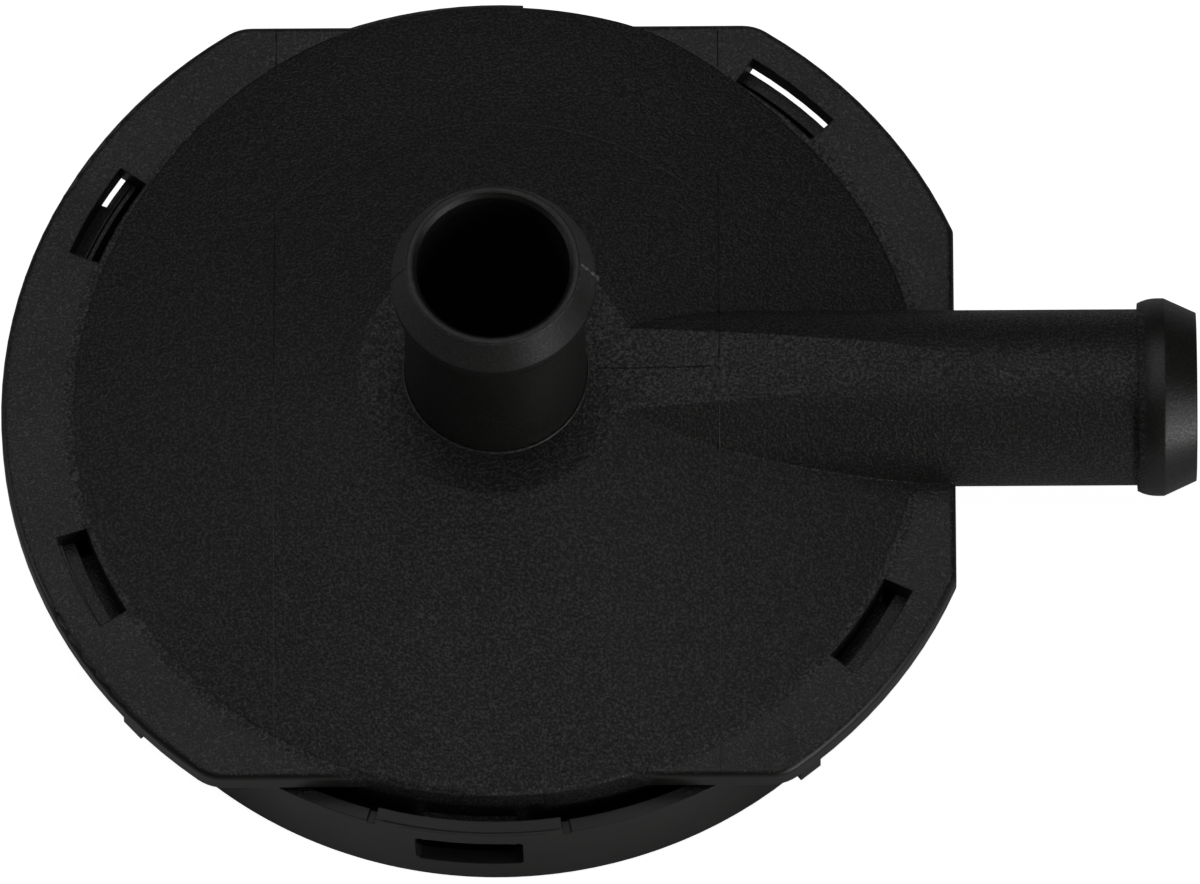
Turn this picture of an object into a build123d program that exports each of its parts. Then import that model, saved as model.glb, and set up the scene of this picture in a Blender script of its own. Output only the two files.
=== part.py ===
from build123d import *
import os
from math import atan2, cos, degrees, radians, sin

os.makedirs("parts", exist_ok=True)

# Crankcase vent valve: a diaphragm pressure regulator in a snap-together plastic housing.
# All sizes are in millimetres. The origin is the centre of the base, +Z runs up the outlet
# pipe on the valve axis, and +X runs out along the inlet pipe.

# Lower cover
COVER_SIDE_GAP = 1.8
COVER_DRAFT = 0.9
COVER_WALL = 1.4
COVER_FLOOR = 2.0
COVER_EDGE_ROUND = 1.0
COVER_TOP_GAP = 1.1
TAB_TOP_GAP = 0.1
TAB_HALF_ANGLE = 12.9
TAB_SLIT_WIDTH = 0.9
TAB_SLIT_DEPTH = 0.4
STOP_RING_RADIUS = 14.0
STOP_RING_WIDTH = 2.0
BEAD_RIDGE_WIDTH = 0.9
BEAD_RIDGE_HEIGHT = 1.0
BEAD_SIDE_GAP = 0.3
UNDERSIDE_RECESS_RADIUS = 30.0
UNDERSIDE_RECESS_DEPTH = 0.6
VENT_RADIUS = 1.6
VENT_OFFSET = 22.0
VENT_GROOVE_WIDTH = 3.2
COVER_RIB_COUNT = 8
COVER_RIB_WIDTH = 1.2

# Snap windows and noses, by angle from the inlet pipe
SNAP_ANGLES = (49.5, 98.5, 151.5, 204.5, 266.3, 326.9)
SLOT_ANGLES = (49.5, 151.5, 204.5, 326.9)
WINDOW_WIDTH = 11.0
WINDOW_HEIGHT = 5.8
WINDOW_DROP = 3.15
WINDOW_CORNER = 0.6
SNAP_CLEARANCE = 0.1
NOSE_SIDE_GAP = 0.7
NOSE_REACH = 2.35
NOSE_LAND = 1.0
NOSE_HEIGHT = 5.0
SLOT_GAP = 0.5
SLOT_WIDTH = 3.2
SLOT_HALF_ANGLE = 6.6

# Upper housing: skirt, flange and cone
SKIRT_RADIUS = 43.5
SKIRT_DRAFT = 0.4
SKIRT_WALL = 2.0
SKIRT_DEPTH = 12.2
FLANGE_WIDTH = 7.2
FLANGE_THICKNESS = 2.45
FLANGE_FRONT_CUT = 9.25
FLANGE_BACK_CUT = 7.5
FLANGE_RIGHT_CUT = 3.95
FLANGE_CORNER = 4.5
FLANGE_RIGHT_CORNER = 1.0
FLANGE_EDGE_ROUND = 0.7
CONE_EDGE_ROUND = 0.6
PLATEAU_HEIGHT = 8.9
PLATEAU_RADIUS = 14.0
CEILING_THICKNESS = 2.0
LUG_ANGLES = (221.9, 309.5)
LUG_WIDTH = 2.6
LUG_LENGTH = 3.6
LUG_INSET = 0.7
LUG_THICKNESS = 2.6

# Hose pipes
OUTLET_BORE_RADIUS = 7.75
OUTLET_BARREL_RADIUS = 9.0
OUTLET_ROOT_RADIUS = 9.29
OUTLET_BEAD_RADIUS = 10.39
OUTLET_RIM_RADIUS = 8.75
OUTLET_RISE = 33.65
INLET_BORE_RADIUS = 7.5
INLET_BARREL_RADIUS = 9.0
INLET_BEAD_RADIUS = 10.1
INLET_RIM_RADIUS = 8.6
INLET_LENGTH = 24.6
INLET_AXIS_RISE = 1.1
INLET_TURN_GAP = 0.75
INLET_CHANNEL_WALL = 0.9
INLET_CHANNEL_TILT = 1.8
INLET_NOTCH_GAP = 0.4
BEAD_NOSE = 3.3
BEAD_LAND = 0.7
BEAD_BACK = 2.0
BEAD_STEP = 0.6
BORE_CHAMFER = 0.5

# Valve inside
NOZZLE_WALL = 1.3
NOZZLE_LIP_ROUND = 0.4
VALVE_TRAVEL = 4.2
SEAT_GAP = 0.2
STOP_GAP = 0.2
FLOOR_CLEARANCE = 1.7
STEM_RADIUS = 3.0
STEM_TAIL = 0.5
STEM_FIT = 0.02
PLATE_THICKNESS = 1.4
PLATE_RIM_WALL = 1.3
PLATE_RIM_HEIGHT = 3.2
PLATE_BOSS_WALL = 1.1
PLATE_BOSS_HEIGHT = 1.6
PLATE_RIB_COUNT = 6
PLATE_RIB_WIDTH = 1.2
PLATE_RIB_HEIGHT = 1.2
SEAL_OVERLAP = 1.15
SEAL_THICKNESS = 2.0
SEAL_RECESS = 1.0
SEAL_FIT = 0.1
SUPPORT_INSET = 0.8
SUPPORT_THICKNESS = 0.8
SUPPORT_LIP = 0.7
CLIP_RADIUS = 6.0
CLIP_THICKNESS = 0.7

# Rubber diaphragm
RUBBER = 0.7
DIAPHRAGM_BEAD_HEIGHT = 2.0
DIAPHRAGM_BEAD_WIDTH = 2.9
DIAPHRAGM_EDGE_GAP = 0.35
ROLL_WIDTH = 7.4
ROLL_INNER_GAP = 0.5

# Return spring
SPRING_WIRE = 1.2
SPRING_TURNS = 5.5
SPRING_WIRE_SIDES = 8
SPRING_BOSS_GAP = 0.5
SPRING_GUIDE_GAP = 0.5
SPRING_GUIDE_WALL = 1.0
SPRING_GUIDE_DEPTH = 1.5

# Lengths by which a cutter passes a face, or a joined piece sinks into its neighbour
PAST = 1.0
INTO = 0.5

# Heights above the base that follow from the sizes
skirt_end = COVER_FLOOR + DIAPHRAGM_BEAD_HEIGHT
flange_top = skirt_end + SKIRT_DEPTH
flange_under = flange_top - FLANGE_THICKNESS
plateau = flange_top + PLATEAU_HEIGHT
ceiling = plateau - CEILING_THICKNESS
outlet_tip = flange_top + OUTLET_RISE
inlet_axis = flange_top + INLET_AXIS_RISE
cover_top = flange_under - COVER_TOP_GAP
tab_top = flange_under - TAB_TOP_GAP
window_top = flange_under - WINDOW_DROP
nose_top = window_top - SNAP_CLEARANCE
support_under = COVER_FLOOR + FLOOR_CLEARANCE
web_under = support_under + SUPPORT_THICKNESS
plate_under = web_under + RUBBER
plate_top = plate_under + PLATE_THICKNESS
boss_top = plate_top + PLATE_BOSS_HEIGHT
seal_under = boss_top - SEAL_RECESS
seal_top = seal_under + SEAL_THICKNESS
nozzle_end = seal_top + VALVE_TRAVEL + SEAT_GAP

# Radii and reaches that follow from the sizes
skirt_inner = SKIRT_RADIUS - SKIRT_WALL
skirt_foot = SKIRT_RADIUS - SKIRT_DRAFT
cover_radius = SKIRT_RADIUS + COVER_SIDE_GAP + COVER_WALL
nose_radius = SKIRT_RADIUS + NOSE_REACH
slot_inner = SKIRT_RADIUS + SLOT_GAP
cone_slope = PLATEAU_HEIGHT / (SKIRT_RADIUS - PLATEAU_RADIUS)
flange_radius = SKIRT_RADIUS + FLANGE_WIDTH
flange_front = flange_radius - FLANGE_FRONT_CUT
flange_back = flange_radius - FLANGE_BACK_CUT
flange_right = flange_radius - FLANGE_RIGHT_CUT
nozzle_radius = OUTLET_BORE_RADIUS + NOZZLE_WALL
seal_radius = nozzle_radius + SEAL_OVERLAP
boss_radius = seal_radius + SEAL_FIT + PLATE_BOSS_WALL
spring_radius = boss_radius + SPRING_BOSS_GAP + SPRING_WIRE / 2
guide_inner = spring_radius + SPRING_WIRE / 2 + SPRING_GUIDE_GAP
guide_outer = guide_inner + SPRING_GUIDE_WALL
bead_radius = skirt_foot - DIAPHRAGM_EDGE_GAP
bead_inner = bead_radius - DIAPHRAGM_BEAD_WIDTH
plate_radius = bead_inner - ROLL_WIDTH
support_radius = plate_radius - SUPPORT_INSET
inlet_straight = flange_right + INLET_TURN_GAP
inlet_tip = flange_right + INLET_LENGTH
channel_end = guide_outer + INLET_CHANNEL_WALL
fairing_end = OUTLET_BARREL_RADIUS - PAST


def turned(outline):
    """Solid of revolution about Z from a closed outline of radius and height."""
    return revolve(Plane.XZ * make_face(outline), Axis.Z)


def turned_points(*points):
    """Solid of revolution about Z from the corner points of its half section."""
    return turned(Polyline(*points, close=True))


def ring(inner, outer, bottom, top):
    """Plain ring about the valve axis."""
    return turned_points((inner, bottom), (outer, bottom), (outer, top), (inner, top))


def sector(inner, outer, bottom, top, middle, half_angle):
    """Part of a ring that covers half_angle degrees each side of the middle angle."""
    reach = outer / cos(radians(half_angle)) + PAST
    side = reach * sin(radians(half_angle))
    far = reach * cos(radians(half_angle))
    wedge = make_face(Polyline((0, 0), (far, -side), (far, side), close=True))
    block = extrude(Pos(0, 0, bottom) * wedge, top - bottom)
    return Rot(0, 0, middle) * (block & ring(inner, outer, bottom, top))


def upright_at(angle, radius, height):
    """Plane that faces outward at an angle, with its own Y up."""
    outward = (cos(radians(angle)), sin(radians(angle)), 0)
    sideways = (-outward[1], outward[0], 0)
    place = (radius * outward[0], radius * outward[1], height)
    return Plane(origin=place, x_dir=sideways, z_dir=outward)


def hose_pipe(foot, tip, root_radius, barrel_radius, bead_radius, rim_radius):
    """Solid hose pipe along Z with a rounded bead behind a conical nose."""
    crest = tip - BEAD_NOSE
    land = crest - BEAD_LAND
    back = land - BEAD_BACK
    step = (barrel_radius + BEAD_STEP, back)
    outline = Polyline((0, foot), (root_radius, foot), (barrel_radius, back), step)
    outline += TangentArc((bead_radius, land), step, tangent=(0, -1))
    outline += Polyline((bead_radius, land), (bead_radius, crest), (rim_radius, tip), (0, tip), (0, foot))
    return turned(outline)


def bore(start, tip, radius):
    """Cutter along Z for a pipe's bore, with a chamfered mouth at the tip."""
    mouth = radius + BORE_CHAMFER
    corner = tip - BORE_CHAMFER
    far = tip + PAST
    return turned_points((0, start), (radius, start), (radius, corner), (mouth, tip), (mouth, far), (0, far))


def inlet_frame():
    """Plane on the inlet pipe's axis, with its own Z out along the pipe."""
    return Plane(origin=(0, 0, inlet_axis), x_dir=(0, 1, 0), z_dir=(1, 0, 0))


def inlet_fairing():
    """Ridge that carries the pipe over the cone, with a flat top that rises to the barrel."""
    barrel_top = inlet_axis + INLET_BARREL_RADIUS
    bar = extrude(inlet_frame().offset(fairing_end) * Circle(INLET_BARREL_RADIUS), inlet_straight - fairing_end)
    low = inlet_axis - INLET_BARREL_RADIUS - PAST
    side = make_face(Polyline(
        (fairing_end, low), (inlet_straight, low), (inlet_straight, barrel_top), (PLATEAU_RADIUS, plateau),
        (fairing_end, plateau), close=True,
    ))
    return bar & extrude(Plane.XZ * side, INLET_BARREL_RADIUS + PAST, both=True)


def inlet_channel():
    """Cutter for the gas way under the ridge, dipping from the straight bore to the chamber."""
    tilt = radians(INLET_CHANNEL_TILT)
    length = (inlet_straight - channel_end) / cos(tilt)
    mouth = inlet_frame().offset(inlet_straight) * Circle(INLET_BORE_RADIUS)
    return extrude(mouth, length, dir=(-cos(tilt), 0, -sin(tilt)))


def flange_outline():
    """Round flange cut flat at the front, the back and the inlet side."""
    left = -flange_radius - PAST
    window = Rectangle(flange_right - left, flange_front + flange_back)
    middle = Pos((flange_right + left) / 2, (flange_back - flange_front) / 2)
    outline = Circle(flange_radius) & middle * window
    others = [corner for corner in outline.vertices() if corner.X < flange_right - INTO]
    outline = fillet(others, FLANGE_CORNER)
    right = [corner for corner in outline.vertices() if corner.X > flange_right - INTO]
    return fillet(right, FLANGE_RIGHT_CORNER)


def flange():
    """Flange plate with a rounded top edge."""
    plate = extrude(Pos(0, 0, flange_under) * flange_outline(), FLANGE_THICKNESS)
    return fillet(plate.edges().group_by(Axis.Z)[-1], FLANGE_EDGE_ROUND)


def cone_and_skirt():
    """Closed form of the cone, its flat top and the skirt below the flange."""
    section = make_face(Polyline(
        (0, skirt_end), (skirt_foot, skirt_end), (SKIRT_RADIUS, flange_under),
        (SKIRT_RADIUS, flange_top), (PLATEAU_RADIUS, plateau), (0, plateau), close=True,
    ))
    rim = section.vertices().filter_by_position(Axis.Y, flange_top, flange_top)
    return revolve(Plane.XZ * fillet(rim, CONE_EDGE_ROUND), Axis.Z)


def chamber():
    """Gas chamber under the cone, as a cutter."""
    corner = ceiling - cone_slope * (skirt_inner - PLATEAU_RADIUS)
    return turned_points(
        (0, skirt_end - PAST), (skirt_inner, skirt_end - PAST), (skirt_inner, corner),
        (PLATEAU_RADIUS, ceiling), (0, ceiling),
    )


def nozzle():
    """Tube that carries the outlet down to the valve seat, with a rounded lip."""
    section = make_face(Polyline(
        (OUTLET_BORE_RADIUS, nozzle_end), (nozzle_radius, nozzle_end), (nozzle_radius, ceiling + INTO),
        (OUTLET_BORE_RADIUS, ceiling + INTO), close=True,
    ))
    lip = section.vertices().group_by(Axis.Y)[0].sort_by(Axis.X)[-1]
    return revolve(Plane.XZ * fillet(lip, NOZZLE_LIP_ROUND), Axis.Z)


def spring_guide():
    """Ring on the ceiling that keeps the top of the spring in place."""
    return ring(guide_inner, guide_outer, ceiling - SPRING_GUIDE_DEPTH, ceiling + INTO)


def snap_nose(angle):
    """Wedge on the skirt that catches the top edge of a window."""
    root = SKIRT_RADIUS - SKIRT_WALL / 2
    low = nose_top - NOSE_HEIGHT
    side = make_face(Polyline(
        (root, low), (SKIRT_RADIUS, low), (nose_radius, nose_top - NOSE_LAND), (nose_radius, nose_top),
        (root, nose_top), close=True,
    ))
    width = WINDOW_WIDTH - 2 * NOSE_SIDE_GAP
    return Rot(0, 0, angle) * extrude(Plane.XZ * side, width / 2, both=True)


def flange_slot(angle):
    """Cutter for the tool opening above a nose."""
    return sector(slot_inner, slot_inner + SLOT_WIDTH, nose_top, flange_top + PAST, angle, SLOT_HALF_ANGLE)


def rim_lug(angle):
    """Small lug that hangs from the flange's rim."""
    middle = flange_radius - LUG_INSET - LUG_THICKNESS / 2
    top = flange_under + INTO
    height = LUG_LENGTH + INTO
    block = Pos(middle, 0, top - height / 2) * Box(LUG_THICKNESS, LUG_WIDTH, height)
    return Rot(0, 0, angle) * block


def upper_housing():
    """One moulding: cone, flange, skirt, both hose pipes and the nozzle."""
    body = cone_and_skirt() + flange()
    body += inlet_fairing()
    body += inlet_frame() * hose_pipe(
        inlet_straight, inlet_tip, INLET_BARREL_RADIUS, INLET_BARREL_RADIUS, INLET_BEAD_RADIUS,
        INLET_RIM_RADIUS,
    )
    body += hose_pipe(
        ceiling + INTO, outlet_tip, OUTLET_ROOT_RADIUS, OUTLET_BARREL_RADIUS, OUTLET_BEAD_RADIUS,
        OUTLET_RIM_RADIUS,
    )
    body -= chamber()
    body += nozzle()
    body += spring_guide()
    body -= inlet_channel()
    body -= inlet_frame() * bore(inlet_straight, inlet_tip, INLET_BORE_RADIUS)
    body -= bore(nozzle_end - PAST, outlet_tip, OUTLET_BORE_RADIUS)
    for angle in SLOT_ANGLES:
        body -= flange_slot(angle)
    for angle in SNAP_ANGLES:
        body += snap_nose(angle)
    for angle in LUG_ANGLES:
        body += rim_lug(angle)
    return body


def cover_shell():
    """Round dish with a drafted wall as high as the snap tabs."""
    foot = cover_radius - COVER_DRAFT
    section = make_face(Polyline(
        (0, 0), (foot, 0), (cover_radius, tab_top), (cover_radius - COVER_WALL, tab_top),
        (foot - COVER_WALL, COVER_FLOOR), (0, COVER_FLOOR), close=True,
    ))
    edge = section.vertices().group_by(Axis.Y)[0].sort_by(Axis.X)[-1]
    return revolve(Plane.XZ * fillet(edge, COVER_EDGE_ROUND), Axis.Z)


def snap_window(angle):
    """Cutter for the rounded window that a nose catches in."""
    place = upright_at(angle, skirt_foot, window_top - WINDOW_HEIGHT / 2)
    outline = place * RectangleRounded(WINDOW_WIDTH, WINDOW_HEIGHT, WINDOW_CORNER)
    return extrude(outline, cover_radius - skirt_foot + PAST)


def wall_between_tabs():
    """Cutter that lowers the wall everywhere but at the snap tabs."""
    outer = cover_radius + PAST
    cutter = ring(skirt_foot, outer, cover_top, tab_top + PAST)
    low = cover_top - PAST
    high = tab_top + 2 * PAST
    for angle in SNAP_ANGLES:
        cutter -= sector(skirt_inner, outer + PAST, low, high, angle, TAB_HALF_ANGLE)
    return cutter


def tab_slits(angle):
    """Cutters for the two slits that free a snap tab from the wall beside it."""
    half = degrees(atan2(TAB_SLIT_WIDTH / 2, cover_radius))
    low = cover_top - TAB_SLIT_DEPTH
    sides = (angle - TAB_HALF_ANGLE + half, angle + TAB_HALF_ANGLE - half)
    return [sector(skirt_foot, cover_radius + PAST, low, tab_top + PAST, side, half) for side in sides]


def inlet_notch():
    """Cutter for the round-bottomed notch that lets the inlet pipe out."""
    start = skirt_inner
    opening = Circle(INLET_BARREL_RADIUS + INLET_NOTCH_GAP)
    return extrude(inlet_frame().offset(start) * opening, cover_radius + PAST - start)


def cover_rib(angle):
    """Stiffening rib across the recess under the floor."""
    start = STOP_RING_RADIUS - INTO
    length = UNDERSIDE_RECESS_RADIUS + INTO - start
    rib = Box(length, COVER_RIB_WIDTH, UNDERSIDE_RECESS_DEPTH, align=(Align.MIN, Align.CENTER, Align.MIN))
    return Rot(0, 0, angle) * Pos(start, 0, 0) * rib


def vent_groove():
    """Cutter that keeps the vent open when the base stands on a face."""
    start = UNDERSIDE_RECESS_RADIUS - PAST
    length = cover_radius + PAST - start
    height = UNDERSIDE_RECESS_DEPTH + PAST
    groove = Box(length, VENT_GROOVE_WIDTH, height, align=(Align.MIN, Align.CENTER, Align.MIN))
    return Rot(0, 0, 180) * Pos(start, 0, -PAST) * groove


def lower_cover():
    """Dish that clamps the diaphragm and clips over the skirt."""
    body = cover_shell()
    ridge_outer = bead_inner - BEAD_SIDE_GAP
    ridge_top = COVER_FLOOR + BEAD_RIDGE_HEIGHT
    stop_top = support_under - STOP_GAP
    body += ring(ridge_outer - BEAD_RIDGE_WIDTH, ridge_outer, COVER_FLOOR - INTO, ridge_top)
    body += ring(STOP_RING_RADIUS - STOP_RING_WIDTH, STOP_RING_RADIUS, COVER_FLOOR - INTO, stop_top)
    recess = ring(STOP_RING_RADIUS, UNDERSIDE_RECESS_RADIUS, -PAST, UNDERSIDE_RECESS_DEPTH)
    for index in range(COVER_RIB_COUNT):
        recess -= cover_rib((index + 0.5) * 360 / COVER_RIB_COUNT)
    body -= recess
    body -= vent_groove()
    body -= Rot(0, 0, 180) * Pos(VENT_OFFSET, 0, 0) * Cylinder(VENT_RADIUS, 4 * COVER_FLOOR)
    body -= wall_between_tabs()
    body -= inlet_notch()
    for angle in SNAP_ANGLES:
        body -= snap_window(angle)
        for slit in tab_slits(angle):
            body -= slit
    return body


def diaphragm():
    """Rubber diaphragm: clamped bead, upward roll and flat web with a stem hole."""
    hole = STEM_RADIUS + STEM_FIT
    bead_top = COVER_FLOOR + DIAPHRAGM_BEAD_HEIGHT
    outer_leg = bead_inner + RUBBER
    inner_leg = plate_radius + ROLL_INNER_GAP
    crest = plate_under + (bead_inner - inner_leg - RUBBER) / 2
    middle = (bead_inner + inner_leg + RUBBER) / 2
    outline = Polyline(
        (inner_leg, plate_under), (hole, plate_under), (hole, web_under), (inner_leg + RUBBER, web_under),
        (inner_leg + RUBBER, plate_under),
    )
    outline += ThreePointArc((inner_leg + RUBBER, plate_under), (middle, crest), (bead_inner, plate_under))
    outline += Polyline(
        (bead_inner, plate_under), (bead_inner, COVER_FLOOR), (bead_radius, COVER_FLOOR),
        (bead_radius, bead_top), (outer_leg, bead_top), (outer_leg, plate_under),
    )
    outline += ThreePointArc((outer_leg, plate_under), (middle, crest + RUBBER), (inner_leg, plate_under))
    return turned(outline)


def valve_plate():
    """Moulded piston plate with a rim, ribs, a recess for the seal and a stem."""
    inner_rim = plate_radius - PLATE_RIM_WALL
    rim_top = plate_under + PLATE_RIM_HEIGHT
    body = ring(0, plate_radius, plate_under, plate_top)
    body += ring(inner_rim, plate_radius, plate_under, rim_top)
    body += ring(0, boss_radius, plate_under, boss_top)
    rib_length = inner_rim + INTO - guide_inner
    height = PLATE_RIB_HEIGHT + INTO
    rib = Box(rib_length, PLATE_RIB_WIDTH, height, align=(Align.MIN, Align.CENTER, Align.MIN))
    for index in range(PLATE_RIB_COUNT):
        body += Rot(0, 0, index * 360 / PLATE_RIB_COUNT) * Pos(guide_inner, 0, plate_top - INTO) * rib
    body -= ring(0, seal_radius + SEAL_FIT, seal_under, boss_top + PAST)
    stem_end = COVER_FLOOR + STEM_TAIL
    return body + ring(0, STEM_RADIUS, stem_end, plate_under + INTO)


def seat_seal():
    """Rubber disc that closes the nozzle."""
    return ring(0, seal_radius, seal_under, seal_top)


def support_plate():
    """Pressed disc that backs the rubber web from below."""
    hole = STEM_RADIUS + STEM_FIT
    lip_inner = support_radius - SUPPORT_THICKNESS
    return turned_points(
        (hole, support_under), (lip_inner, support_under), (lip_inner, support_under - SUPPORT_LIP),
        (support_radius, support_under - SUPPORT_LIP), (support_radius, web_under), (hole, web_under),
    )


def push_nut():
    """Domed push-on clip that holds the stack on the stem."""
    hole = STEM_RADIUS + STEM_FIT
    bottom = support_under - CLIP_THICKNESS
    return turned_points(
        (hole, bottom), (CLIP_RADIUS - CLIP_THICKNESS, bottom), (CLIP_RADIUS, support_under),
        (hole, support_under),
    )


def return_spring():
    """Compression spring between the plate and the ceiling. Its wire has flats, to stay light."""
    height = ceiling - plate_top - SPRING_WIRE
    path = Pos(0, 0, plate_top + SPRING_WIRE / 2) * Helix(height / SPRING_TURNS, height, spring_radius)
    section = Plane(origin=path @ 0, z_dir=path % 0) * RegularPolygon(SPRING_WIRE / 2, SPRING_WIRE_SIDES)
    return sweep(section, path=path, is_frenet=True)


NODES = {
    "upper_housing": upper_housing,
    "lower_cover": lower_cover,
    "diaphragm": diaphragm,
    "valve_plate": valve_plate,
    "seat_seal": seat_seal,
    "support_plate": support_plate,
    "push_nut": push_nut,
    "return_spring": return_spring,
}

for name, make in NODES.items():
    export_step(make(), os.path.join("parts", name + ".step"))
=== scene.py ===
import math

import bmesh
import bpy
import numpy as np
from mathutils import Matrix, Vector, noise
from mathutils.bvhtree import BVHTree


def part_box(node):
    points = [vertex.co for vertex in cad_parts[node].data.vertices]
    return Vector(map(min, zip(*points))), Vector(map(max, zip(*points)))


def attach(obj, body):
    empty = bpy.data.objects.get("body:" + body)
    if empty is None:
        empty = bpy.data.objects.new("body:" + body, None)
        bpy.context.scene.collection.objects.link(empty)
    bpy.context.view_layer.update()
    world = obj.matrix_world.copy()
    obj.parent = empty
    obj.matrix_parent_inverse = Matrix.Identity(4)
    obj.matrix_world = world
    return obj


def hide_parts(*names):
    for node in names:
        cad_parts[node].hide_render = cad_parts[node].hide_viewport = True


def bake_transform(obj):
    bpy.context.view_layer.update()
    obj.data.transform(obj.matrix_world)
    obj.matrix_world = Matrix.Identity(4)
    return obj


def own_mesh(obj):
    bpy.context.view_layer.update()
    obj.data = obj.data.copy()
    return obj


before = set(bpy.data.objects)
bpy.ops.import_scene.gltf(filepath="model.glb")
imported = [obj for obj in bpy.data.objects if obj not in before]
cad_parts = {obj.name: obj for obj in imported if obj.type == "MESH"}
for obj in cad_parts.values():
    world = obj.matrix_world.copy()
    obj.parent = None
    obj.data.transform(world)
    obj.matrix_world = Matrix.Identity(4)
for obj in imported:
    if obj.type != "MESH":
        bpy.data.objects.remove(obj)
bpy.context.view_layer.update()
MM = 0.001

# Camera, fitted to the photograph: places in metres, lens and sensor in millimetres
FLANGE_TOP = 0.0162
ELEVATION = math.radians(65.184)
AZIMUTH = math.radians(0.935)
ROLL = math.radians(1.190)
DISTANCE = 2.3715
SHIFT_RIGHT = 0.010428
SHIFT_UP = -0.003939
LENS = 696.6
SENSOR = 36.0

# Lamps: name, place, width and length in metres, and power
AIM = (0, 0, 0.02)
LAMPS = (
    ("overhead back", (0, 0.55, 1.15), (0.9, 0.6), 1.65),
    ("overhead", (0, -0.1, 1.3), (0.9, 0.6), 1.45),
    ("left", (-1.2, 0.1, 0.6), (0.8, 0.6), 1.6),
    ("right front", (1.12, -0.70, 0.48), (0.9, 0.7), 3.3),
    ("low right front", (0.88, -0.92, 0.14), (0.5, 0.24), 2.8),
)
WORLD_LIGHT = 0.01

# Floor, in metres
FLOOR_HALF = 4.0
FLOOR_DROP = 0.0002
FLOOR_GLOW = 0.92
FLOOR_SHADES = ((0.81, 0.81, 0.81), (0.83, 0.83, 0.83))

# Moulded surfaces: noise scales are per metre, colours run from the grain's pits to its peaks
GRAIN_SCALE = 3800.0
GRAIN_RELIEF = 0.000085
GRAIN_COLOURS = ((0.0010, 0.0010, 0.0008), (0.0085, 0.0084, 0.0077), (0.0420, 0.0418, 0.0400))
GRAIN_STOPS = (0.37, 0.50, 0.65)
GRAIN_SPARKLE = 0.9
COARSE_SCALE = 0.45
COARSE_WEIGHT = 0.6
CLOUD_SCALE = 70.0
CLOUD_RANGE = (0.3, 0.7)
CLOUD_GLOSS = 0.05
CLOUD_TINT = 0.1
METAL_GLOSS = 0.1
HOUSING_PLAIN = (0.0108, 0.0106, 0.0096)
COVER_PLAIN = (0.0110, 0.0109, 0.0099)

# Where the grain ends and where it is full, in metres
GRAIN_ROUND_OUTLET = (0.0106, 0.0112)
GRAIN_BELOW_OUTLET = (0.0258, 0.0252)
GRAIN_BEHIND_BEAD = (0.0664, 0.0658)
GRAIN_ABOVE_FLANGE = (0.01625, 0.01635)
GRAIN_ON_INLET = (0.0467, 0.0469)
GRAIN_INSIDE_FLANGE = (0.0444, 0.0442)
GRAIN_ON_COVER = (0.0120, 0.0121)
GRAIN_UNDER_SLOTS = (-0.0420, -0.0418)

# The same for the normal's upward part plus noise, and the grain that is left on the pipes
GRAIN_FACING_UP = (1.38, 1.44)
PIPE_GRAIN = 0.3

# Sizes that the pieces share with the solids, in millimetres
PLATEAU = 25.1
ROOT_RADIUS = 9.29
OUTLET_TIP = 49.85
FLANGE_FRONT = -41.45
FLANGE_BACK = 43.2
CONE_FOOT = 16.2
CONE_RADIUS = 43.5
CONE_SLOPE = 8.9 / 29.5
TAB_TOP = 13.65

# Thin raised lines: the section's spread as shares of the width, and its shoulders as a share of the crest
RIBBON_SPREAD = (-0.5, -0.3, 0.0, 0.3, 0.5)
RIBBON_SHOULDER = 0.6
RIBBON_SUNK = 0.03
RIBBON_STEP = 0.8
RAGGED_STEP = 0.9
RAY_REACH = 0.1

# Mould lines on the cone: width, rise and raggedness
SEAM_REACH = 22.7
SEAM_CLEARANCE = 0.3
SEAM_INSET = 0.8
FRONT_SEAM = (0.22, 0.05, 0.5)
BACK_SEAM = (0.20, 0.05, 0.5)
SIDE_SEAM = (0.16, 0.035, 0.4)

# Lines on the front tab: width, rise and raggedness, and first and last angle in degrees
TAB_EDGE_LINE = (0.13, 0.05, 0.7)
TAB_EDGE_ANGLES = (255.5, 278.0)
TAB_EDGE_RADIUS = 46.58
TAB_WALL_LINE = (0.13, 0.024, 0.7)
TAB_WALL_ANGLES = (257.5, 276.5)
TAB_WALL_DROP = 0.60
TAB_WALL_SWAY = 0.08
TAB_WALL_WAVES = 0.35
TAB_LINE_STEP = 0.6

# Wider foot of the cone at the back: angles in degrees to each side of straight back
LIP_START = 30.0
LIP_REACH = 1.65
LIP_LEFT = 62.0
LIP_RIGHT = -42.0
LIP_FULL_ANGLE = 16.0
LIP_BOTTOM = 13.9
LIP_PROUD = 0.02
LIP_BORDER = 0.05
LIP_OVERLAP = 0.6
LIP_SKIN = 0.4
LIP_COLUMNS = 97
LIP_ROWS = 17

# Ring at the outlet's foot: width, rise and raggedness
ROOT_RING = (0.4, 0.16, 0.2)
ROOT_RING_OFFSET = 0.12
ROOT_RING_POINTS = 120

# Lips on the outlet's rim: radius, drop below the tip, lean outward, width, rise and seed
RIM_LIP_POINTS = 140
RIM_LIP_RAGGED = 0.5
RIM_LIPS = (
    (8.79, 0.14, 0.75, 0.28, 0.08, 4.0),
    (8.18, 0.07, -0.75, 0.14, 0.04, 6.0),
)

# Half section of the outlet's nose and bead, as radius and height
NOSE_PROFILE = (
    (8.78, 49.72), (9.6, 48.1), (10.36, 46.6), (10.40, 46.2), (10.38, 45.85), (10.0, 44.7), (9.62, 43.9),
)
NOSE_STEPS = 4

# Flash down the nose: how far it stands off the middle, and how it wanders
FLASH_SWAY = 0.15
FLASH_WANDER = 0.12
FLASH_WANDER_STEP = 0.8
FLASH_WANDER_SEED = 3.3

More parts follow.
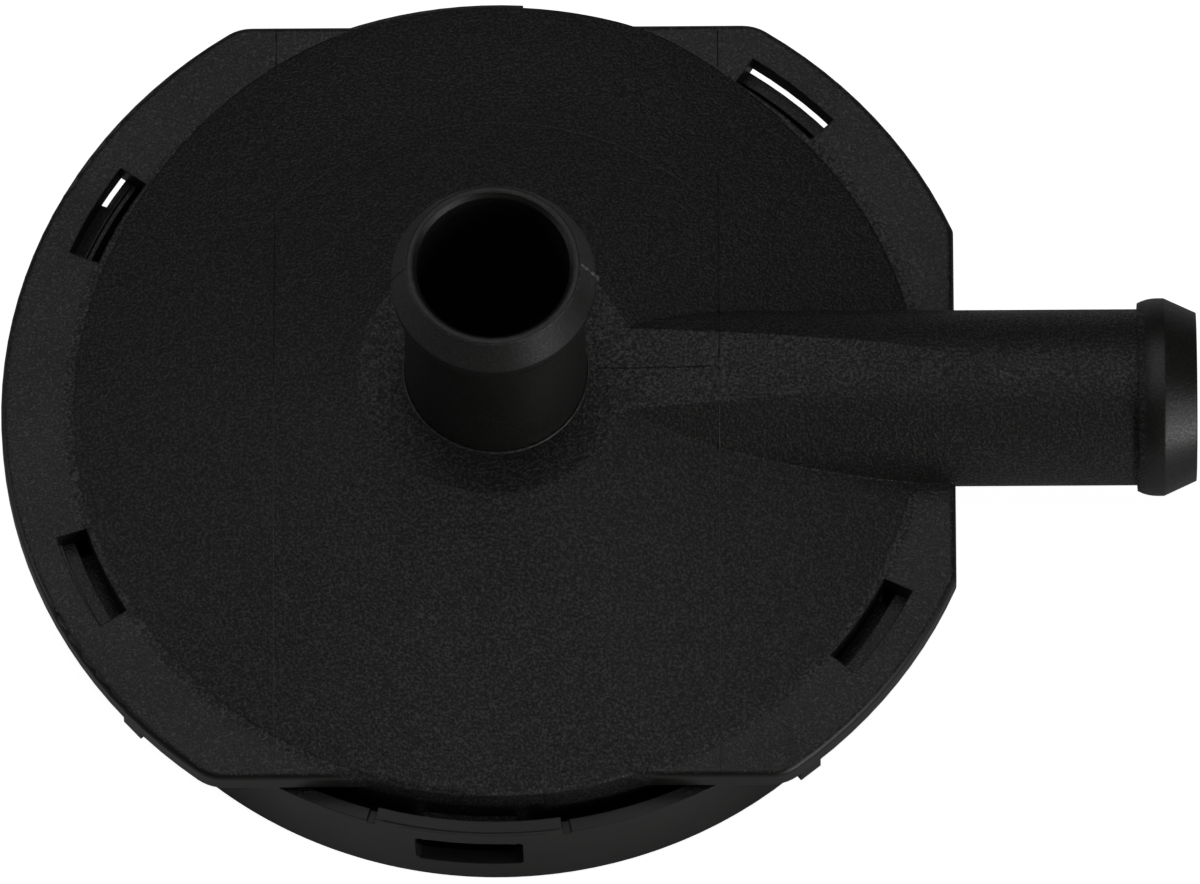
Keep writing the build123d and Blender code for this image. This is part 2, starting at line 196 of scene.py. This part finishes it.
# Flash at one slot: first and last angle in degrees, and the section as radius and height
SLOT_RIDGE = (145.2, 149.3, [(45.4, 13.0), (45.85, 13.95), (46.0, 13.95), (46.6, 13.45), (46.4, 13.0)])
SLOT_WEB = (
    149.2, 157.7,
    [(45.4, 13.0), (45.85, 13.95), (46.0, 13.95), (48.3, 12.9), (48.3, 12.6), (46.4, 12.6)],
)
SLOT_FLASH_STEPS = 16

# Spring, with closed turns at both ends
SPRING_RADIUS = 12.5
SPRING_WIRE = 1.2
SPRING_TURNS = 6.5
SPRING_CLOSED_TURNS = 0.7
SPRING_OPENING_TURNS = 0.6
SPRING_TOUCH = 1.01
SPRING_STEPS_PER_TURN = 48
SPRING_SIDES = 12

# Rubber diaphragm, in millimetres
RUBBER_SKIN = 0.7
RUBBER_WEB = 4.5
RUBBER_FLOOR = 2.0
RUBBER_BEAD_TOP = 4.0
RUBBER_BEAD_WIDTH = 2.9
RUBBER_BEAD_ROUND = 0.35
RUBBER_CORNER = 0.3
RUBBER_HEEL = 0.25
RUBBER_FOLD_WIDTH = 6.9
RUBBER_FOLD_STEPS = 16
RUBBER_HOLE = 3.02
RUBBER_WEB_MIDDLE = 14.0
RUBBER_WEB_INSET = 2.0
RUBBER_SEGMENTS = 144


def add_camera():
    """Long lens, looking down at the valve from the front."""
    right = Vector((math.cos(AZIMUTH), math.sin(AZIMUTH), 0))
    level = math.cos(ELEVATION)
    back = Vector((math.sin(AZIMUTH) * level, -math.cos(AZIMUTH) * level, math.sin(ELEVATION)))
    up = back.cross(right)
    data = bpy.data.cameras.new("camera")
    data.lens = LENS
    data.sensor_width = SENSOR
    camera = bpy.data.objects.new("camera", data)
    bpy.context.scene.collection.objects.link(camera)
    turned_right = math.cos(ROLL) * right - math.sin(ROLL) * up
    turned_up = math.sin(ROLL) * right + math.cos(ROLL) * up
    place = back * DISTANCE + right * SHIFT_RIGHT + up * SHIFT_UP + Vector((0, 0, FLANGE_TOP))
    turn = Matrix((turned_right, turned_up, back)).transposed()
    camera.matrix_world = Matrix.Translation(place) @ turn.to_4x4()
    bpy.context.scene.camera = camera


def add_lamp(name, place, size, power):
    """Soft rectangular lamp at a place, aimed at the valve."""
    data = bpy.data.lights.new(name, "AREA")
    data.shape = "RECTANGLE"
    data.size, data.size_y = size
    data.energy = power
    lamp = bpy.data.objects.new(name, data)
    bpy.context.scene.collection.objects.link(lamp)
    lamp.location = place
    lamp.rotation_euler = (Vector(AIM) - Vector(place)).to_track_quat("-Z", "Y").to_euler()


def node(tree, kind, **values):
    """Adds a shader node and sets its properties."""
    made = tree.nodes.new("ShaderNode" + kind)
    for key, value in values.items():
        setattr(made, key, value)
    return made


def wire(tree, *pairs):
    """Links each pair of an output and an input."""
    for source, target in pairs:
        tree.links.new(source, target)


def new_material(name):
    """Material with its node tree and its shader."""
    material = bpy.data.materials.new(name)
    material.use_nodes = True
    tree = material.node_tree
    return material, tree, tree.nodes["Principled BSDF"]


def joined(tree, operation, first, *others):
    """Output of one Math operation over two or more sockets."""
    for other in others:
        made = node(tree, "Math", operation=operation)
        wire(tree, (first, made.inputs[0]), (other, made.inputs[1]))
        first = made.outputs["Value"]
    return first


def scaled(tree, value, factor, added=0.0):
    """Output of a Math node: a socket times a factor, plus a number."""
    made = node(tree, "Math", operation="MULTIPLY_ADD")
    made.inputs[1].default_value = factor
    made.inputs[2].default_value = added
    wire(tree, (value, made.inputs[0]))
    return made.outputs["Value"]


def mapped(tree, value, limits, low=0.0, high=1.0):
    """Socket that runs from low to high while the value runs between its limits."""
    made = node(tree, "MapRange")
    made.inputs["From Min"].default_value, made.inputs["From Max"].default_value = limits
    made.inputs["To Min"].default_value = low
    made.inputs["To Max"].default_value = high
    wire(tree, (value, made.inputs["Value"]))
    return made.outputs["Result"]


def noise_at(tree, where, scale, detail):
    """Noise in the object's own coordinates."""
    made = node(tree, "TexNoise")
    made.inputs["Scale"].default_value = scale
    made.inputs["Detail"].default_value = detail
    wire(tree, (where.outputs["Object"], made.inputs["Vector"]))
    return made.outputs["Fac"]


def shades(tree, value, *stops):
    """Colour ramp over a socket, with a colour at each position."""
    made = node(tree, "ValToRGB")
    elements = made.color_ramp.elements
    while len(elements) < len(stops):
        elements.new(0.5)
    for element, (position, colour) in zip(elements, stops):
        element.position = position
        element.color = (*colour, 1)
    wire(tree, (value, made.inputs["Fac"]))
    return made.outputs["Color"]


def housing_mask(tree, where, ragged):
    """1 on the grained housing, less on the outlet and the inlet's bead, 0 on the flange's edge."""
    place = node(tree, "SeparateXYZ")
    flat = node(tree, "CombineXYZ")
    away = node(tree, "VectorMath", operation="LENGTH")
    facing = node(tree, "SeparateXYZ")
    wire(
        tree,
        (where.outputs["Object"], place.inputs["Vector"]),
        (place.outputs["X"], flat.inputs["X"]),
        (place.outputs["Y"], flat.inputs["Y"]),
        (flat.outputs["Vector"], away.inputs[0]),
        (where.outputs["Normal"], facing.inputs["Vector"]),
    )
    from_axis = away.outputs["Value"]
    off_outlet = joined(
        tree, "MAXIMUM",
        mapped(tree, from_axis, GRAIN_ROUND_OUTLET),
        mapped(tree, place.outputs["Z"], GRAIN_BELOW_OUTLET),
    )
    off_bead = mapped(tree, place.outputs["X"], GRAIN_BEHIND_BEAD)
    off_sides = joined(
        tree, "MAXIMUM",
        mapped(tree, joined(tree, "ADD", facing.outputs["Z"], ragged), GRAIN_FACING_UP),
        mapped(tree, place.outputs["Z"], GRAIN_ABOVE_FLANGE),
        mapped(tree, place.outputs["X"], GRAIN_ON_INLET),
        mapped(tree, from_axis, GRAIN_INSIDE_FLANGE),
    )
    off_pipes = node(tree, "Math", operation="MAXIMUM")
    off_pipes.inputs[1].default_value = PIPE_GRAIN
    wire(tree, (joined(tree, "MULTIPLY", off_outlet, off_bead), off_pipes.inputs[0]))
    return joined(tree, "MULTIPLY", off_pipes.outputs["Value"], off_sides)


def cover_mask(tree, where, ragged):
    """1 on the grained top of the cover's wall below the slots, 0 elsewhere."""
    place = node(tree, "SeparateXYZ")
    facing = node(tree, "SeparateXYZ")
    wire(
        tree,
        (where.outputs["Object"], place.inputs["Vector"]),
        (where.outputs["Normal"], facing.inputs["Vector"]),
    )
    return joined(
        tree, "MULTIPLY",
        mapped(tree, place.outputs["Z"], GRAIN_ON_COVER),
        mapped(tree, place.outputs["Y"], GRAIN_UNDER_SLOTS),
        mapped(tree, joined(tree, "ADD", facing.outputs["Z"], ragged), GRAIN_FACING_UP),
    )


def moulded(name, colours, rough, grain, relief, bevel=0.0, mask=None, plain=None, satin=0.0):
    """Moulded plastic or rubber: speckled grain in colour and relief, and clouds in its gloss.

    Where the mask is 0, the surface is smooth, with the plain colour and a roughness lower by satin.
    """
    material, tree, shader = new_material(name)
    where = node(tree, "TexCoord")
    fine = noise_at(tree, where, grain, detail=2.5)
    coarse = noise_at(tree, where, grain * COARSE_SCALE, detail=2.0)
    clouds = noise_at(tree, where, CLOUD_SCALE, detail=4.0)
    colour = shades(tree, fine, *zip(GRAIN_STOPS, colours))
    gloss = mapped(tree, clouds, CLOUD_RANGE, rough - CLOUD_GLOSS, rough + CLOUD_GLOSS)
    bump = node(tree, "Bump")
    bump.inputs["Strength"].default_value = 1.0
    bump.inputs["Distance"].default_value = relief
    wire(
        tree,
        (joined(tree, "ADD", scaled(tree, coarse, COARSE_WEIGHT), fine), bump.inputs["Height"]),
        (bump.outputs["Normal"], shader.inputs["Normal"]),
    )
    if bevel:
        soft = node(tree, "Bevel", samples=6)
        soft.inputs["Radius"].default_value = bevel
        wire(tree, (soft.outputs["Normal"], bump.inputs["Normal"]))
    if mask:
        grained = mask(tree, where, fine)
        tints = [[channel * share for channel in plain] for share in (1 - CLOUD_TINT, 1 + CLOUD_TINT)]
        both = node(tree, "Mix", data_type="RGBA")
        wire(
            tree,
            (grained, bump.inputs["Strength"]),
            (grained, both.inputs["Factor"]),
            (shades(tree, clouds, *zip(CLOUD_RANGE, tints)), both.inputs[6]),
            (colour, both.inputs[7]),
        )
        colour = both.outputs[2]
        sheen = scaled(tree, grained, satin, -satin)
        sparkle = scaled(tree, fine, -GRAIN_SPARKLE, GRAIN_SPARKLE / 2)
        gloss = joined(tree, "ADD", gloss, sheen, joined(tree, "MULTIPLY", grained, sparkle))
    wire(tree, (colour, shader.inputs["Base Color"]), (gloss, shader.inputs["Roughness"]))
    return material


def metal(name, dark, light, rough, scale, relief):
    """Bare or plated steel with fine uneven gloss."""
    material, tree, shader = new_material(name)
    shader.inputs["Metallic"].default_value = 1.0
    where = node(tree, "TexCoord")
    cells = node(tree, "TexVoronoi")
    cells.inputs["Scale"].default_value = scale
    clouds = noise_at(tree, where, scale * 2, detail=5.0)
    gloss = mapped(tree, clouds, (0, 1), rough - METAL_GLOSS, rough + METAL_GLOSS)
    bump = node(tree, "Bump")
    bump.inputs["Distance"].default_value = relief
    wire(
        tree,
        (where.outputs["Object"], cells.inputs["Vector"]),
        (clouds, bump.inputs["Height"]),
        (shades(tree, cells.outputs["Distance"], (0, dark), (1, light)), shader.inputs["Base Color"]),
        (gloss, shader.inputs["Roughness"]),
        (bump.outputs["Normal"], shader.inputs["Normal"]),
    )
    return material


def dress(name, material):
    """Gives a CAD node a better material."""
    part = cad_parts[name]
    part.data.materials.clear()
    part.data.materials.append(material)


def surface_of(name):
    """Search tree of a node's faces, for placing lines on them."""
    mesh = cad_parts[name].data
    corners = [vertex.co.copy() for vertex in mesh.vertices]
    return BVHTree.FromPolygons(corners, [list(face.vertices) for face in mesh.polygons])


def on_top(surface, x, y):
    """Point and normal where a vertical line meets the surface from above."""
    spot, normal, _, _ = surface.ray_cast(Vector((x * MM, y * MM, RAY_REACH)), Vector((0, 0, -1)))
    return spot, normal


def outward(angle):
    """Level unit vector that points away from the valve axis at an angle in radians."""
    return Vector((math.cos(angle), math.sin(angle), 0))


def polar(radius, angle, height):
    """Point in metres from a radius and a height in millimetres and an angle in radians."""
    return (outward(angle) * radius + Vector((0, 0, height))) * MM


def circle(count):
    """Angles of evenly spaced points round the valve axis."""
    return [2 * math.pi * index / count for index in range(count)]


def add_skin(bm, rows, closed=False):
    """Faces between neighbouring rows of points. A row is a closed section, and open ends get caps."""
    following = rows[1:] + rows[:1] if closed else rows[1:]
    for one, two in zip(rows, following):
        for k in range(len(one)):
            nxt = (k + 1) % len(one)
            bm.faces.new((one[k], two[k], two[nxt], one[nxt]))
    if not closed:
        bm.faces.new(rows[0])
        bm.faces.new(rows[-1][::-1])


def add_ribbon(bm, spots, width, rise, ragged=0.0, closed=False, seed=0.0):
    """Thin raised line along points on a surface, each with its normal. Sizes in millimetres."""
    count = len(spots)
    rows = []
    for index, (spot, normal) in enumerate(spots):
        before = spots[index - 1][0] if index or closed else spot
        after = spots[(index + 1) % count][0] if index < count - 1 or closed else spot
        side = (after - before).cross(normal).normalized()
        swell = 1 + ragged * noise.noise(Vector((index * RAGGED_STEP, seed, 0.5)))
        crest = rise * swell
        heights = (-RIBBON_SUNK, RIBBON_SHOULDER * crest, crest, RIBBON_SHOULDER * crest, -RIBBON_SUNK)
        section = zip(RIBBON_SPREAD, heights)
        rows.append([bm.verts.new(spot + (side * width * swell * a + normal * b) * MM) for a, b in section])
    add_skin(bm, rows, closed)


def new_piece(name, bm, material, body):
    """Turns a bmesh into a smooth piece. It rides on a body, or stays unattached where the body is None."""
    bmesh.ops.recalc_face_normals(bm, faces=bm.faces)
    mesh = bpy.data.meshes.new(name)
    bm.to_mesh(mesh)
    bm.free()
    for face in mesh.polygons:
        face.use_smooth = True
    mesh.materials.append(material)
    piece = bpy.data.objects.new(name, mesh)
    bpy.context.scene.collection.objects.link(piece)
    if body:
        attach(piece, body)
    return piece


def line_on_top(surface, start, end):
    """Points and normals along a straight line in plan, laid on the surface."""
    (x0, y0), (x1, y1) = start, end
    steps = max(1, int(math.dist(start, end) / RIBBON_STEP))
    shares = [index / steps for index in range(steps + 1)]
    return [on_top(surface, x0 + t * (x1 - x0), y0 + t * (y1 - y0)) for t in shares]


def add_mould_lines(surface):
    """Witness lines of the mould's inserts on the cone: in front in a lighter colour that is a painted
    highlight, dull at the back.
    """
    clear = ROOT_RADIUS + SEAM_CLEARANCE
    front, back = bmesh.new(), bmesh.new()
    add_ribbon(front, line_on_top(surface, (-SEAM_REACH, 0), (-clear, 0)), *FRONT_SEAM, seed=1.0)
    add_ribbon(back, line_on_top(surface, (clear, 0), (SEAM_REACH, 0)), *BACK_SEAM, seed=2.0)
    first, last = FLANGE_FRONT + SEAM_INSET, FLANGE_BACK - SEAM_INSET
    for side in (-1, 1):
        x = side * SEAM_REACH
        add_ribbon(front, line_on_top(surface, (x, first), (x, 0)), *SIDE_SEAM, seed=side)
        add_ribbon(back, line_on_top(surface, (x, 0), (x, last)), *SIDE_SEAM, seed=side)
    new_piece("mould_lines_front", front, painted_highlight_seam, "housing")
    new_piece("mould_lines_back", back, housing, "housing")


def eased(share):
    """Smooth step from 0 to 1."""
    return share * share * (3 - 2 * share)


def add_rear_lip():
    """The cone's wider foot at the back, past the flange's cut and over the cover's rear tab."""
    first, last = LIP_RIGHT + LIP_BORDER, LIP_LEFT - LIP_BORDER
    bm = bmesh.new()
    top, low = [], []
    for turn in [LIP_RIGHT, *np.linspace(first, last, LIP_COLUMNS), LIP_LEFT]:
        end = LIP_LEFT if turn > 0 else -LIP_RIGHT
        full = min((end - abs(turn)) / (end - LIP_FULL_ANGLE), 1.0)
        outer = CONE_RADIUS + LIP_BORDER + LIP_REACH * eased(full)
        angle = math.radians(90 + turn)
        high, under = [], []
        for r in [LIP_START, *np.linspace(LIP_START + LIP_BORDER, outer - LIP_BORDER, LIP_ROWS), outer]:
            share = (r - LIP_START) / (outer - LIP_START)
            lift = (outer - CONE_RADIUS) * CONE_SLOPE * eased(share)
            z = CONE_FOOT + (CONE_RADIUS - r) * CONE_SLOPE + lift + LIP_PROUD
            floor = LIP_BOTTOM if r > CONE_RADIUS - LIP_OVERLAP else z - LIP_SKIN
            high.append(bm.verts.new(polar(r, angle, z)))
            under.append(bm.verts.new(polar(r, angle, floor)))
        top.append(high)
        low.append(under)
    rim = len(top[0]) - 1
    for a in range(len(top) - 1):
        for b in range(rim):
            bm.faces.new((top[a][b], top[a + 1][b], top[a + 1][b + 1], top[a][b + 1]))
            bm.faces.new((low[a][b], low[a][b + 1], low[a + 1][b + 1], low[a + 1][b]))
        for b in (0, rim):
            bm.faces.new((top[a][b], low[a][b], low[a + 1][b], top[a + 1][b]))
    for a in (0, -1):
        for b in range(rim):
            bm.faces.new((top[a][b], top[a][b + 1], low[a][b + 1], low[a][b]))
    new_piece("rear_lip", bm, housing, "housing")


def add_tab_lines(surface):
    """Two fine witness lines on the cover's front tab: on its top's outer edge, and on the wall below."""
    along_edge, on_wall = [], []
    for degrees in np.arange(*TAB_EDGE_ANGLES, TAB_LINE_STEP):
        place = outward(math.radians(degrees)) * TAB_EDGE_RADIUS
        along_edge.append(on_top(surface, place.x, place.y))
    for degrees in np.arange(*TAB_WALL_ANGLES, TAB_LINE_STEP):
        out = outward(math.radians(degrees))
        height = TAB_TOP - TAB_WALL_DROP - TAB_WALL_SWAY * math.sin(degrees * TAB_WALL_WAVES)
        spot, normal, _, _ = surface.ray_cast(out * RAY_REACH + Vector((0, 0, height * MM)), -out)
        on_wall.append((spot, normal))
    bm = bmesh.new()
    add_ribbon(bm, along_edge, *TAB_EDGE_LINE, seed=8.0)
    add_ribbon(bm, on_wall, *TAB_WALL_LINE, seed=9.0)
    new_piece("tab_lines", bm, cover, "housing")


def add_root_ring():
    """Small bead of plastic round the foot of the outlet pipe."""
    up = Vector((0, 0, 1))
    radius = ROOT_RADIUS + ROOT_RING_OFFSET
    spots = [(polar(radius, angle, PLATEAU), up) for angle in circle(ROOT_RING_POINTS)]
    bm = bmesh.new()
    add_ribbon(bm, spots, *ROOT_RING, closed=True, seed=3.0)
    # The edge material is lighter: a painted highlight on the ring.
    new_piece("outlet_root_ring", bm, edge, "housing")


def add_rim_lip():
    """Sharp lips that the mould leaves on the outer and inner edge of the outlet's rim."""
    bm = bmesh.new()
    for radius, drop, lean, width, rise, seed in RIM_LIPS:
        spots = []
        for angle in circle(RIM_LIP_POINTS):
            normal = (outward(angle) * lean + Vector((0, 0, 1))).normalized()
            spots.append((polar(radius, angle, OUTLET_TIP - drop), normal))
        add_ribbon(bm, spots, width, rise, RIM_LIP_RAGGED, closed=True, seed=seed)
    # The edge material is lighter: a painted highlight on the lips.
    new_piece("outlet_rim_lip", bm, edge, "housing")


def add_pipe_flash():
    """Parting lines down both sides of the outlet's nose and bead: a dull one, and a ragged one in a
    lighter colour that is a painted highlight.
    """
    lines = (
        ("outlet_flash_left", housing, -1, 0.18, 0.07, 0.6, 4.0),
        ("outlet_flash_right", painted_highlight_flash, 1, 0.42, 0.20, 1.5, 6.0),
    )
    for name, material, side, width, rise, ragged, seed in lines:
        wander = FLASH_WANDER * max(side, 0)
        spots = []
        for (r0, z0), (r1, z1) in zip(NOSE_PROFILE, NOSE_PROFILE[1:]):
            out = Vector((z0 - z1, 0, r1 - r0)).normalized()
            for step in range(NOSE_STEPS):
                t = step / NOSE_STEPS
                uneven = noise.noise(Vector((len(spots) * FLASH_WANDER_STEP, FLASH_WANDER_SEED, 0)))
                sway = FLASH_SWAY * side + wander * uneven
                place = Vector((side * (r0 + t * (r1 - r0)), sway, z0 + t * (z1 - z0))) * MM
                spots.append((place, Vector((side * out.x, 0, out.z))))
        bm = bmesh.new()
        add_ribbon(bm, spots, width, rise, ragged, seed=seed)
        new_piece(name, bm, material, "housing")


def add_slot_flash():
    """Ridge on the cover's edge below one slot, and the flash that closes most of the gap beside it."""
    bm = bmesh.new()
    for start, end, section in (SLOT_RIDGE, SLOT_WEB):
        rows = []
        for degrees in np.linspace(start, end, SLOT_FLASH_STEPS + 1):
            rows.append([bm.verts.new(polar(r, math.radians(degrees), z)) for r, z in section])
        add_skin(bm, rows)
    piece = new_piece("slot_flash", bm, cover, "housing")
    for face in piece.data.polygons:
        face.use_smooth = False


def spring_rises(height):
    """Rise of the wire at each step: a closed turn at both ends and open turns that fill the height."""
    steps = int(SPRING_TURNS * SPRING_STEPS_PER_TURN)
    turns_per_step = SPRING_TURNS / steps
    opening = []
    for index in range(steps):
        turn = (index + 0.5) * turns_per_step
        inside = min(turn, SPRING_TURNS - turn)
        opening.append(eased(min(max((inside - SPRING_CLOSED_TURNS) / SPRING_OPENING_TURNS, 0.0), 1.0)))
    closed_pitch = SPRING_WIRE * SPRING_TOUCH
    extra = (height - closed_pitch * SPRING_TURNS) / (sum(opening) * turns_per_step)
    return [(closed_pitch + extra * share) * turns_per_step for share in opening]


def add_spring():
    """Round wire with closed end turns."""
    low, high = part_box("return_spring")
    rises = spring_rises((high.z - low.z) / MM - SPRING_WIRE)
    z = low.z / MM + SPRING_WIRE / 2
    bm = bmesh.new()
    rows = []
    for index in range(len(rises) + 1):
        angle = 2 * math.pi * SPRING_TURNS * index / len(rises)
        row = []
        for around in circle(SPRING_SIDES):
            radius = SPRING_RADIUS + SPRING_WIRE / 2 * math.cos(around)
            row.append(bm.verts.new(polar(radius, angle, z + SPRING_WIRE / 2 * math.sin(around))))
        rows.append(row)
        if index < len(rises):
            z += rises[index]
    for one, two in zip(rows, rows[1:]):
        for k in range(SPRING_SIDES):
            nxt = (k + 1) % SPRING_SIDES
            bm.faces.new((one[k], one[nxt], two[nxt], two[k]))
    bm.faces.new(rows[0][::-1])
    bm.faces.new(rows[-1])
    spring = new_piece("coil_spring", bm, wire_steel, "housing")
    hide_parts("return_spring")
    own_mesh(spring)


def diaphragm_section(outer, bead_inner, leg):
    """Closed half section of the rubber, as radius and height: web, fold and clamped bead."""
    top = RUBBER_WEB + RUBBER_SKIN
    middle = (bead_inner + leg + RUBBER_SKIN) / 2
    fold = (bead_inner - leg - RUBBER_SKIN) / 2
    turns = [math.pi * index / RUBBER_FOLD_STEPS for index in range(1, RUBBER_FOLD_STEPS)]
    under_fold = [(middle - fold * math.cos(turn), top + fold * math.sin(turn)) for turn in turns]
    bead = [
        (bead_inner, top),
        (bead_inner, RUBBER_FLOOR + RUBBER_CORNER),
        (bead_inner + RUBBER_CORNER, RUBBER_FLOOR),
        (outer - RUBBER_BEAD_ROUND, RUBBER_FLOOR),
        (outer, RUBBER_FLOOR + RUBBER_BEAD_ROUND),
        (outer, RUBBER_BEAD_TOP - RUBBER_BEAD_ROUND),
        (outer - RUBBER_BEAD_ROUND, RUBBER_BEAD_TOP),
        (bead_inner + RUBBER_SKIN + RUBBER_CORNER, RUBBER_BEAD_TOP),
        (bead_inner + RUBBER_SKIN, RUBBER_BEAD_TOP + RUBBER_CORNER),
        (bead_inner + RUBBER_SKIN, top),
    ]
    wide = fold + RUBBER_SKIN
    over_fold = [(middle + wide * math.cos(turn), top + wide * math.sin(turn)) for turn in turns]
    web = (RUBBER_HOLE, RUBBER_WEB_MIDDLE, leg - RUBBER_WEB_INSET)
    web_top = [(leg, top)] + [(r, top) for r in web[::-1]]
    web_under = [(r, RUBBER_WEB) for r in web]
    heel = [(leg + RUBBER_SKIN - RUBBER_HEEL, RUBBER_WEB)]
    toe = [(leg + RUBBER_SKIN, RUBBER_WEB + RUBBER_HEEL), (leg + RUBBER_SKIN, top)]
    return toe + under_fold + bead + over_fold + web_top + web_under + heel


def add_diaphragm():
    """Rubber with a rounded fold."""
    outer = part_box("diaphragm")[1].x / MM
    bead_inner = outer - RUBBER_BEAD_WIDTH
    leg = bead_inner - RUBBER_FOLD_WIDTH
    section = diaphragm_section(outer, bead_inner, leg)
    bm = bmesh.new()
    rows = [[bm.verts.new(polar(r, angle, z)) for r, z in section] for angle in circle(RUBBER_SEGMENTS)]
    add_skin(bm, rows, closed=True)
    piece = new_piece("rolling_diaphragm", bm, rubber, None)
    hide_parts("diaphragm")
    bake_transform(piece)


def add_floor():
    """Large pale floor. The camera sees it as lit white paper, and shadows stay on it."""
    material, tree, shader = new_material("floor")
    shader.inputs["Roughness"].default_value = 0.9
    shader.inputs["Specular IOR Level"].default_value = 0.1
    where = node(tree, "TexCoord")
    clouds = noise_at(tree, where, 3.0, detail=2.0)
    glow = node(tree, "Emission")
    glow.inputs["Color"].default_value = (1, 1, 1, 1)
    path = node(tree, "LightPath")
    both = node(tree, "AddShader")
    wire(
        tree,
        (shades(tree, clouds, *zip((0, 1), FLOOR_SHADES)), shader.inputs["Base Color"]),
        (scaled(tree, path.outputs["Is Camera Ray"], FLOOR_GLOW), glow.inputs["Strength"]),
        (shader.outputs["BSDF"], both.inputs[0]),
        (glow.outputs["Emission"], both.inputs[1]),
        (both.outputs["Shader"], tree.nodes["Material Output"].inputs["Surface"]),
    )
    corners = [(x * FLOOR_HALF, y * FLOOR_HALF, 0) for x, y in ((-1, -1), (1, -1), (1, 1), (-1, 1))]
    mesh = bpy.data.meshes.new("floor")
    mesh.from_pydata(corners, [], [(0, 1, 2, 3)])
    mesh.materials.append(material)
    floor = bpy.data.objects.new("floor", mesh)
    bpy.context.scene.collection.objects.link(floor)
    floor.location.z = -FLOOR_DROP


def set_world():
    """White to the camera, almost dark as a light."""
    world = bpy.data.worlds.new("studio")
    bpy.context.scene.world = world
    world.use_nodes = True
    tree = world.node_tree
    back = tree.nodes["Background"]
    back.inputs["Color"].default_value = (1, 1, 1, 1)
    path = node(tree, "LightPath")
    level = mapped(tree, path.outputs["Is Camera Ray"], (0, 1), WORLD_LIGHT, 1.0)
    wire(tree, (level, back.inputs["Strength"]))


housing = moulded(
    "housing plastic", GRAIN_COLOURS, rough=0.50, grain=GRAIN_SCALE, relief=GRAIN_RELIEF,
    bevel=0.0003, mask=housing_mask, plain=HOUSING_PLAIN, satin=0.12,
)
cover = moulded(
    "cover plastic", GRAIN_COLOURS, rough=0.50, grain=GRAIN_SCALE, relief=GRAIN_RELIEF,
    bevel=0.0002, mask=cover_mask, plain=COVER_PLAIN, satin=0.04,
)
# Lighter colour for the lips at the outlet's rim and foot: a painted highlight where the light catches
# these edges.
edge = moulded(
    "housing edge painted lighter", ((0.020, 0.020, 0.019), (0.028, 0.028, 0.027), (0.060, 0.060, 0.058)),
    rough=0.42, grain=2600.0, relief=0.00003,
)
# Lighter colour for the ragged flash on the outlet's right side, towards the key light: a painted
# highlight.
painted_highlight_flash = moulded(
    "flash painted lighter", ((0.045, 0.045, 0.044), (0.090, 0.090, 0.088), (0.160, 0.160, 0.157)),
    rough=0.36, grain=2200.0, relief=0.00004,
)
# Lighter colour for the front mould lines: a painted highlight where the light catches them.
painted_highlight_seam = moulded(
    "seam painted lighter", ((0.012, 0.012, 0.011), (0.022, 0.022, 0.021), (0.045, 0.045, 0.044)),
    rough=0.42, grain=2600.0, relief=0.00003,
)
rubber = moulded(
    "diaphragm rubber", ((0.012, 0.012, 0.013), (0.024, 0.024, 0.025), (0.035, 0.035, 0.036)),
    rough=0.66, grain=1500.0, relief=0.00002,
)
plate = moulded(
    "plate plastic", ((0.040, 0.040, 0.042), (0.056, 0.056, 0.058), (0.070, 0.070, 0.072)),
    rough=0.45, grain=2500.0, relief=0.00002,
)
seal = moulded(
    "seal rubber", ((0.022, 0.022, 0.024), (0.034, 0.034, 0.036), (0.046, 0.046, 0.048)),
    rough=0.60, grain=1800.0, relief=0.00002,
)
zinc = metal("zinc plated steel", (0.42, 0.42, 0.43), (0.62, 0.62, 0.63), 0.36, 900.0, 0.00001)
clip = metal("clip steel", (0.38, 0.38, 0.39), (0.56, 0.55, 0.54), 0.34, 1400.0, 0.00001)
wire_steel = metal("spring wire", (0.50, 0.50, 0.51), (0.66, 0.66, 0.66), 0.28, 2600.0, 0.00001)

dress("upper_housing", housing)
dress("lower_cover", cover)
dress("valve_plate", plate)
dress("seat_seal", seal)
dress("support_plate", zinc)
dress("push_nut", clip)

add_mould_lines(surface_of("upper_housing"))
add_rear_lip()
add_tab_lines(surface_of("lower_cover"))
add_root_ring()
add_rim_lip()
add_pipe_flash()
add_slot_flash()
add_spring()
add_diaphragm()

bpy.context.scene.view_settings.view_transform = "Standard"
add_camera()
set_world()
add_floor()
for lamp in LAMPS:
    add_lamp(*lamp)
